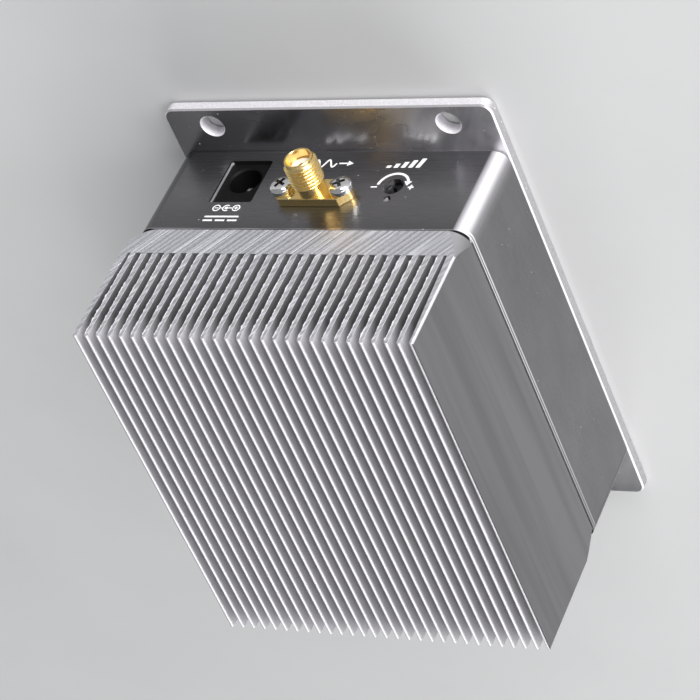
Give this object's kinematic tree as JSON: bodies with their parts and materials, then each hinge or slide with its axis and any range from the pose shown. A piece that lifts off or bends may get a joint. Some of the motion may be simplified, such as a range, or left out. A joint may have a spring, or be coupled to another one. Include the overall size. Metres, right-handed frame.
{
  "type": "rf amplifier",
  "caption": "Bench radio-frequency amplifier in a machined case with a finned heatsink, eared mounting plate, coaxial sockets, barrel power inlet and a recessed gain adjuster.",
  "frame": {"origin": "centre of the mounting plate's outer face, which lies on the surface it is fixed to", "axes": "+Z from the plate towards the fin tips, +Y along the fins away from the panel with the controls, +X to the right when that panel is seen from the front with the plate down"},
  "size_m": [0.069, 0.101, 0.0518],
  "materials": {
    "machined_aluminium": "fine-milled, brushed along the walls, bare",
    "plate_aluminium": "rolled sheet with milled edges, bare",
    "extruded_aluminium": "extruded, sawn ends, bare",
    "silicone_pad": "thin heat-conducting sheet",
    "gold_plating": "turned, gold plated",
    "nickel_screw": "nickel plated",
    "white_insulator": "turned fluoropolymer",
    "black_moulding": "moulded, fine grain",
    "tinned_metal": "tinned",
    "trimmer_case": "moulded",
    "trimmer_rotor": "turned, darkened",
    "board_laminate": "solder-masked laminate",
    "brass_spacer": "turned",
    "copper": "bare copper",
    "ceramic_white": "fired, matt",
    "ferrite": "pressed and fired",
    "can_aluminium": "drawn can",
    "chip_ceramic": "fired"
  },
  "bodies": {
    "amplifier": {"mounting_plate": "plate_aluminium", "plate_screws": "nickel_screw", "housing": "machined_aluminium", "thermal_pad": "silicone_pad", "heatsink": "extruded_aluminium", "heatsink_screws": "nickel_screw", "input_socket_body": "gold_plating", "input_socket_insulator": "white_insulator", "input_socket_contact": "gold_plating", "input_socket_screws": "nickel_screw", "output_socket_body": "gold_plating", "output_socket_insulator": "white_insulator", "output_socket_contact": "gold_plating", "output_socket_screws": "nickel_screw", "power_jack_body": "black_moulding", "power_jack_pin": "tinned_metal", "power_jack_leaf": "tinned_metal", "power_jack_tags": "tinned_metal", "gain_trimmer_body": "trimmer_case", "gain_trimmer_pins": "tinned_metal", "circuit_board": "board_laminate", "board_spacers": "brass_spacer", "board_screws": "nickel_screw", "solder_joints": "tinned_metal", "power_transistor_flange": "copper", "power_transistor_ceramic": "ceramic_white", "power_transistor_leads": "gold_plating", "power_transistor_screws": "nickel_screw", "chip_packages": "black_moulding", "chip_leads": "tinned_metal", "output_transformer_core": "ferrite", "output_transformer_tubes": "copper", "supply_choke": "ferrite", "supply_capacitors": "can_aluminium", "capacitor_bases": "black_moulding", "chip_components": "chip_ceramic"},
    "gain_adjuster": {"gain_rotor": "trimmer_rotor"}
  },
  "joints": [
    {"name": "gain_turn", "type": "hinge", "parent": "amplifier", "child": "gain_adjuster", "pos_m": [-0.015, -0.038, 0.0121], "axis": [0, 1, 0], "range_deg": [-130, 130]}
  ]
}
